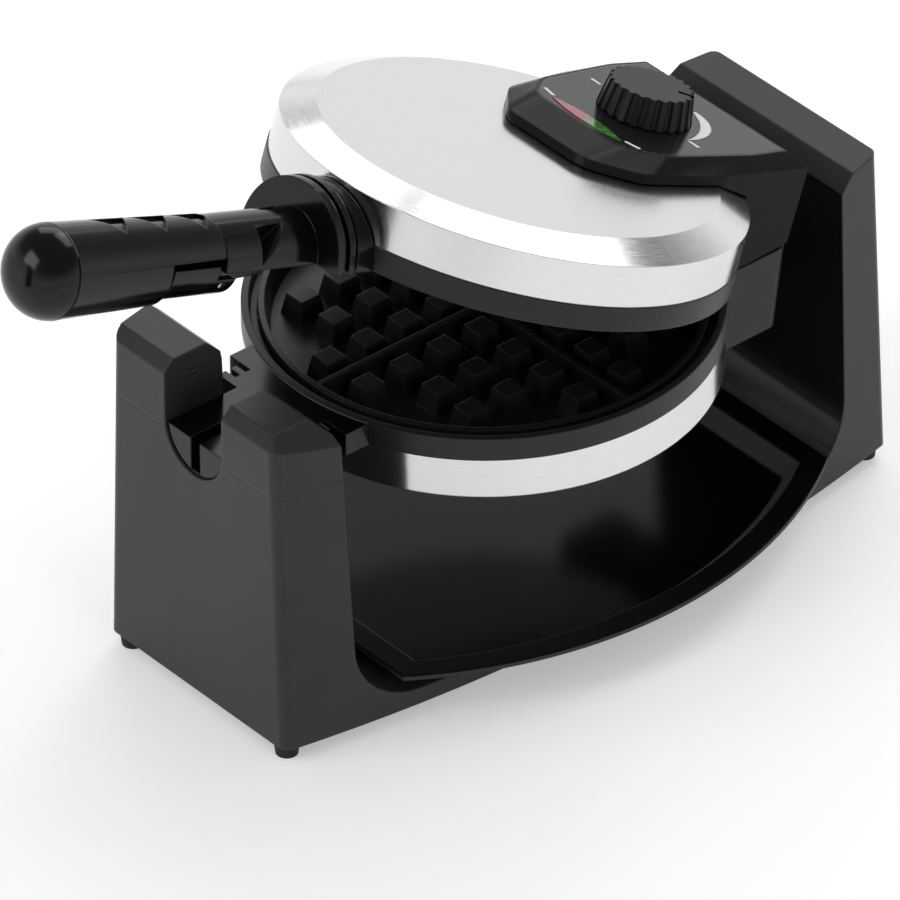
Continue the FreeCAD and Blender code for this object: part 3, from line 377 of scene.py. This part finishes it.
look_of = {
    "base_plastic": stand_plastic(),
    "tray_plastic": tray_plastic(),
    "satin_plastic": plastic("satin_plastic", 0.020, 0.38, grain=1200.0, grain_depth=0.12, shine=0.25),
    "panel": plastic("panel_plastic", 0.012, 0.17, grain=1500.0, grain_depth=0.04, shine=0.36),
    "gloss": plastic("gloss_plastic", 0.014, 0.16, grain=700.0, grain_depth=0.03, edge_r=0.0008, shine=0.07),
    "handle": plastic("handle_plastic", 0.003, 0.15, grain=800.0, grain_depth=0.04, shine=0.3),
    "knob": plastic("knob_plastic", 0.006, 0.36, grain=1000.0, grain_depth=0.10, edge_r=0.0006, shine=0.22),
    "rim": plastic("rim_plastic", 0.016, 0.38, grain=1000.0, grain_depth=0.10),
    "rubber": plastic("foot_rubber", 0.020, 0.75, grain=1600.0, grain_depth=0.25, wear=1.1),
    "coating": plastic("plate_coating", 0.010, 0.33, grain=2400.0, grain_depth=0.22, edge_r=0.0006),
    "cover_low": brushed("cover_steel_low", 0.74, 0.15),
    "cover_top": brushed("cover_steel_top", 0.74, 0.17, lid=True),
    "hardware": metal("hardware_steel", 0.58, 0.30),
    "sheet": metal("bright_sheet", 0.72, 0.28),
    "board": plastic("board_green", 0.16, 0.5, grain=900.0, tint=(0.15, 1.0, 0.35)),
    "red": tinted("lens_red", (0.50, 0.035, 0.06, 1.0), (0.28, 0.012, 0.03, 1.0)),
    "green": tinted("lens_green", (0.08, 0.34, 0.035, 1.0), (0.03, 0.17, 0.02, 1.0)),
    "print": plastic("white_print", 0.86, 0.5, grain=2500.0, grain_depth=0.05, wear=1.0),
}
wears = {
    "base_plastic": ("base_shell", "front_cap_left", "front_cap_right", "rear_cap"),
    "tray_plastic": ("drip_tray",),
    "satin_plastic": ("lower_housing", "base_plate", "cord_inlet", "flip_bearing"),
    "panel": ("control_panel",),
    "gloss": ("control_housing",),
    "handle": ("handle_top", "handle_bottom", "handle_end_cap", "upper_collar", "lower_collar",
               "latch_lever"),
    "knob": ("knob",),
    "rim": ("lower_rim", "upper_rim"),
    "rubber": ("foot_front_left", "foot_front_right", "foot_rear_left", "foot_rear_right"),
    "coating": ("lower_plate", "upper_plate"),
    "cover_low": ("lower_cover",),
    "cover_top": ("upper_cover",),
    "hardware": ("lower_element", "upper_element", "lower_screws", "upper_screws", "base_screws",
                 "handle_rod", "handle_screws", "hinge_pins", "latch_pin", "latch_spring",
                 "flip_shaft", "shaft_nut", "knob_shaft"),
    "sheet": ("lower_reflector", "upper_reflector", "thermostat", "thermal_fuse"),
    "board": ("lamp_board",),
    "red": ("lens_red",),
    "green": ("lens_green",),
}
for key, names in wears.items():
    for name in names:
        for place in nodes[name].material_slots:
            place.material = look_of[key].mat


# Leaf spring of the latch: a strip with a round bend

LEAF_T = 0.0006
LEAF_BEND_R = LEAF_T * 1.5     # at the middle of the strip
LEAF_BEND_DEG = 150.0
LEAF_BEND_STEPS = 8


def leaf_path(front, back, low, high):
    """Middle line of the strip, seen from the side: flat arm, bend, and arm that falls to the lever."""
    bend_y = back - LEAF_T / 2 - LEAF_BEND_R
    bend_z = high - LEAF_T / 2 - LEAF_BEND_R
    path = [(front, high - LEAF_T / 2)]
    for i in range(LEAF_BEND_STEPS + 1):
        turn = math.radians(90.0 - LEAF_BEND_DEG * i / LEAF_BEND_STEPS)
        path.append((bend_y + LEAF_BEND_R * math.cos(turn), bend_z + LEAF_BEND_R * math.sin(turn)))
    path.append((front, low + LEAF_T))
    return path


def strip(path, half):
    """Closed strip of even thickness along a side view's path."""
    bm = bmesh.new()
    corners = ((-half, 1), (half, 1), (half, -1), (-half, -1))
    rows = []
    for i, (y, z) in enumerate(path):
        before, after = path[max(i - 1, 0)], path[min(i + 1, len(path) - 1)]
        run = Vector((after[0] - before[0], after[1] - before[1])).normalized()
        out_y, out_z = -run.y * LEAF_T / 2, run.x * LEAF_T / 2
        rows.append([bm.verts.new((x, y + side * out_y, z + side * out_z)) for x, side in corners])
    for a, b in zip(rows, rows[1:]):
        for k in range(len(corners)):
            bm.faces.new((a[k], a[k - 1], b[k - 1], b[k]))
    bm.faces.new(rows[0])
    bm.faces.new(rows[-1][::-1])
    bmesh.ops.recalc_face_normals(bm, faces=bm.faces)
    return bm


def leaf_spring(node, name):
    """Strip in the space of the CAD leaf, worked out in the shut lid's frame."""
    spots = [shut_turn @ v.co for v in nodes[node].data.vertices]
    front, back = min(p.y for p in spots), max(p.y for p in spots)
    low, high = min(p.z for p in spots), max(p.z for p in spots)
    bm = strip(leaf_path(front, back, low, high), max(p.x for p in spots))
    bm.transform(open_turn)
    piece = mesh_object(name, bm, look_of["hardware"])
    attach(piece, "lid")
    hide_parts(node)
    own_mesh(piece)


leaf_spring("latch_spring", "latch_leaf")


# Printed marks on the control panel, in the shut lid's frame and in millimetres from the plates' centre

PANEL_Z = 0.176                # face of the panel, in metres
INK_TOP = 0.00012              # top of the ink above that face
INK_T = INK_TOP * 0.5
MARK_W = 1.6


def printed(name, outlines):
    """Thin ink shapes on the panel."""
    bm = bmesh.new()
    for outline in outlines:
        top = bm.faces.new([bm.verts.new((x / MM_PER_M, y / MM_PER_M + plate_y, PANEL_Z + INK_TOP))
                            for x, y in outline])
        made = bmesh.ops.extrude_face_region(bm, geom=[top])
        low = [v for v in made["geom"] if isinstance(v, bmesh.types.BMVert)]
        bmesh.ops.translate(bm, vec=(0, 0, -INK_T), verts=low)
    bmesh.ops.recalc_face_normals(bm, faces=bm.faces)
    bm.transform(open_turn)
    piece = mesh_object(name, bm, look_of["print"])
    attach(piece, "lid")


def bar(x, y, length, turn=0.0):
    """Short straight mark with its middle at x, y."""
    c, s = math.cos(math.radians(turn)), math.sin(math.radians(turn))
    out = []
    for a, b in ((-length, -MARK_W), (length, -MARK_W), (length, MARK_W), (-length, MARK_W)):
        out.append((x + (a * c - b * s) / 2.0, y + (a * s + b * c) / 2.0))
    return out


def crescent(centre_y, r, start, end, thick, steps=28):
    """Arc round the dial that swells from a narrow start and runs out to a point."""
    swell_from, swell_span = 0.12, 0.87
    outer, inner = [], []
    for i in range(steps + 1):
        f = i / steps
        a = math.radians(start + (end - start) * f)
        half = thick * math.sin(math.pi * (swell_from + swell_span * f)) / 2
        outer.append(((r + half) * math.cos(a), centre_y + (r + half) * math.sin(a)))
        inner.append(((r - half) * math.cos(a), centre_y + (r - half) * math.sin(a)))
    return outer + inner[::-1]


printed("dial_ticks", [bar(x, y=68.5, length=6.0) for x in (30.0, -30.0)])
printed("dial_crescent", [crescent(centre_y=68.0, r=26.0, start=82.0, end=1.0, thick=4.6)])
printed("lamp_bars", [bar(x, y=37.5, length=7.5, turn=turn) for x, turn in ((25.5, 12.0), (-25.5, -12.0))])


# Floor, light and background

def stage_floor(half=6.0):
    """Pale floor that lights up a little for the camera and in reflections, and keeps the shadow."""
    dark, pale, cloud_scale = 0.80, 0.84, 3.0
    rough, shine, glow = 0.6, 0.2, 0.34
    t = Look("floor")
    t.feed("Base Color", t.blend(t.noise(cloud_scale), shade(dark), shade(pale)))
    t.fix("Roughness", rough)
    t.fix("Specular IOR Level", shine)
    t.fix("Emission Color", WHITE)
    seen, _ = t.seen_rays()
    t.feed("Emission Strength", t.math("MULTIPLY", seen, glow))
    bm = bmesh.new()
    bmesh.ops.create_grid(bm, x_segments=2, y_segments=2, size=half)
    mesh_object("floor", bm, t)


def flag(name, place, size):
    """Dark studio card that only shows in reflections."""
    bm = bmesh.new()
    bmesh.ops.create_grid(bm, x_segments=1, y_segments=1, size=0.5)
    card = mesh_object(name, bm, look_of["satin_plastic"])
    aim(card, place, Vector((place[0], place[1], 0.0)), front="Z")
    card.scale = (size[0], size[1], 1.0)
    card.visible_camera = False
    card.visible_diffuse = False
    card.visible_shadow = False
    card.visible_transmission = False


def soft_light(name, place, target, size, power, in_gloss=True):
    data = bpy.data.lights.new(name, "AREA")
    data.shape = "RECTANGLE"
    data.size, data.size_y = size
    data.energy = power
    lamp = link_object(name, data)
    aim(lamp, place, Vector(target) - Vector(place))
    lamp.visible_glossy = in_gloss


def room():
    """White background that lights the object less than it shows, and mirrors darker overhead."""
    light_level, shown_level = 0.45, 1.0
    white_below, dark_above, overhead = 0.10, 0.45, 0.22
    world = bpy.data.worlds.new("studio")
    scene.world = world
    world.use_nodes = True
    g = Graph(world.node_tree)
    back = g.tree.nodes["Background"]
    seen, mirrored = g.seen_rays()
    g.join(g.span(seen, 0.0, 1.0, light_level, shown_level), back.inputs["Strength"])
    ramp = g.add("ShaderNodeValToRGB")
    low, high = ramp.color_ramp.elements
    low.position, low.color = white_below, WHITE
    high.position, high.color = dark_above, shade(overhead)
    g.join(g.parts(g.add("ShaderNodeTexCoord").outputs["Generated"])[2], ramp.inputs["Fac"])
    g.join(g.blend(mirrored, WHITE, ramp.outputs["Color"]), back.inputs["Color"])


stage_floor()
room()
flag("flag_front", place=(-0.35, -1.5, 0.35), size=(0.42, 0.9))
soft_light("key_light", place=(-0.8, -2.2, 1.6), target=(0, 0.03, 0.1), size=(1.4, 1.4), power=19.0)
soft_light("side_light", place=(2.3, -0.3, 0.9), target=(0, 0.05, 0.1), size=(1.3, 1.0), power=9.0,
           in_gloss=False)
soft_light("back_light", place=(-1.6, 1.5, 1.75), target=(0, 0.05, 0.1), size=(2.0, 1.3), power=15.0)
soft_light("top_light", place=(-0.35, 1.7, 2.1), target=(0, 0.05, 0.1), size=(1.6, 1.2), power=15.0)
